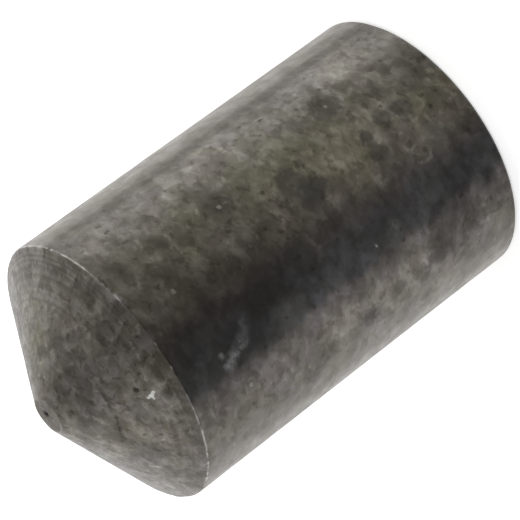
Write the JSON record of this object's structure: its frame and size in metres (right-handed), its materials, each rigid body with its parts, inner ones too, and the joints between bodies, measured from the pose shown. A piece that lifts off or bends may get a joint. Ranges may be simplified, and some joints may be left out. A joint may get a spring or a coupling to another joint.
{
  "type": "locking bolt",
  "caption": "Short solid steel locking bolt: a plain round shank with a flat rear face and a blunt conical nose that drops into a notch to lock a sliding or turning part.",
  "frame": {"origin": "centre of the flat rear face, which the bolt stands on", "axes": "+Z along the bolt's axis, from the rear face to the nose; X and Y are any two directions across the round shank"},
  "size_m": [0.016, 0.016, 0.027],
  "materials": {
    "blackened_steel": "dark oxide scale, mottled and stained, satin, bright where the rim is worn"
  },
  "bodies": {
    "root": {"locking_bolt": "blackened_steel"}
  },
  "joints": []
}
